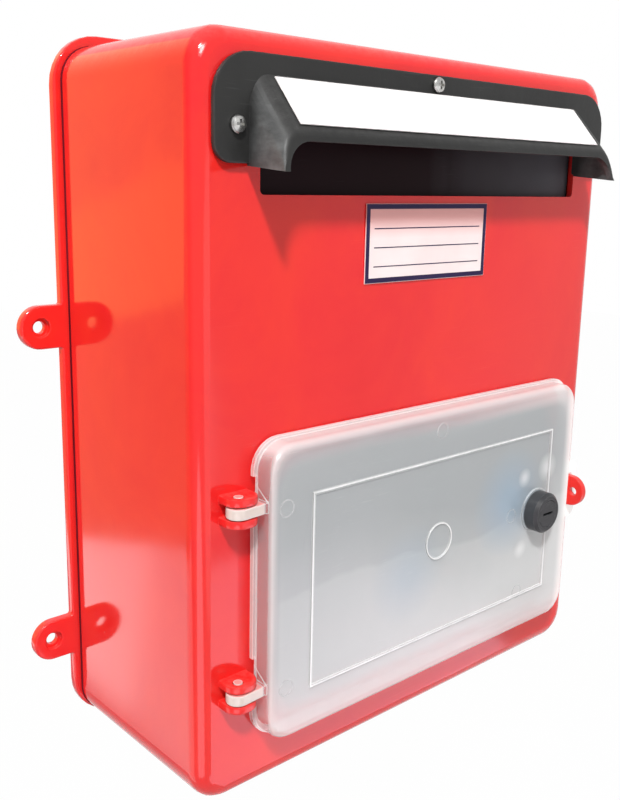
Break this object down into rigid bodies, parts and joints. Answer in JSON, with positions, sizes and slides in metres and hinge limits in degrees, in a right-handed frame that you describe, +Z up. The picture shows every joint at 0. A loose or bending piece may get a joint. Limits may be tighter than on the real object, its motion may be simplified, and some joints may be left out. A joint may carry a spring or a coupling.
{
  "type": "suggestion box",
  "caption": "Red plastic wall-mounted suggestion box with a hooded posting slot, hanging flap, name card and a hinged, locking translucent collection door.",
  "frame": {"origin": "centre of the back plate's wall face", "axes": "+Y into the wall, the front looks along -Y, +Z up, +X to the viewer's right"},
  "size_m": [0.3174, 0.1293, 0.329],
  "materials": {
    "red_plastic": "glossy moulded plastic",
    "black_plastic": "fine matte grain",
    "clear_plastic": "translucent, satin",
    "lock_black": "satin black",
    "white_paper": "printed sticker stock",
    "steel": "zinc plated"
  },
  "bodies": {
    "box": {"front_shell": "red_plastic", "back_plate": "red_plastic", "plate_screw_1": "steel", "plate_screw_2": "steel", "plate_screw_3": "steel", "plate_screw_4": "steel", "hood": "black_plastic", "hood_label": "white_paper", "hood_screw_left": "steel", "hood_screw_middle": "steel", "hood_screw_right": "steel", "hood_washer_left": "steel", "hood_washer_middle": "steel", "hood_washer_right": "steel", "hood_nut_left": "steel", "hood_nut_middle": "steel", "hood_nut_right": "steel", "name_card": "white_paper"},
    "flap": {"slot_flap": "black_plastic"},
    "door": {"door_panel": "clear_plastic", "lock_housing": "lock_black", "lock_washer": "steel", "lock_nut": "steel"},
    "lock": {"lock_plug": "lock_black", "lock_cam": "steel", "cam_screw": "steel"}
  },
  "joints": [
    {"name": "door_hinge", "type": "hinge", "parent": "box", "child": "door", "pos_m": [-0.117, -0.111, -0.0673], "axis": [0, 0, -1], "range_deg": [0, 150]},
    {"name": "lock_turn", "type": "hinge", "parent": "door", "child": "lock", "pos_m": [0.079, -0.1012, -0.0673], "axis": [0, 1, 0], "range_deg": [0, 90]},
    {"name": "flap_swing", "type": "hinge", "parent": "box", "child": "flap", "pos_m": [0, -0.0997, 0.136], "axis": [1, 0, 0], "range_deg": [0, 70]}
  ]
}
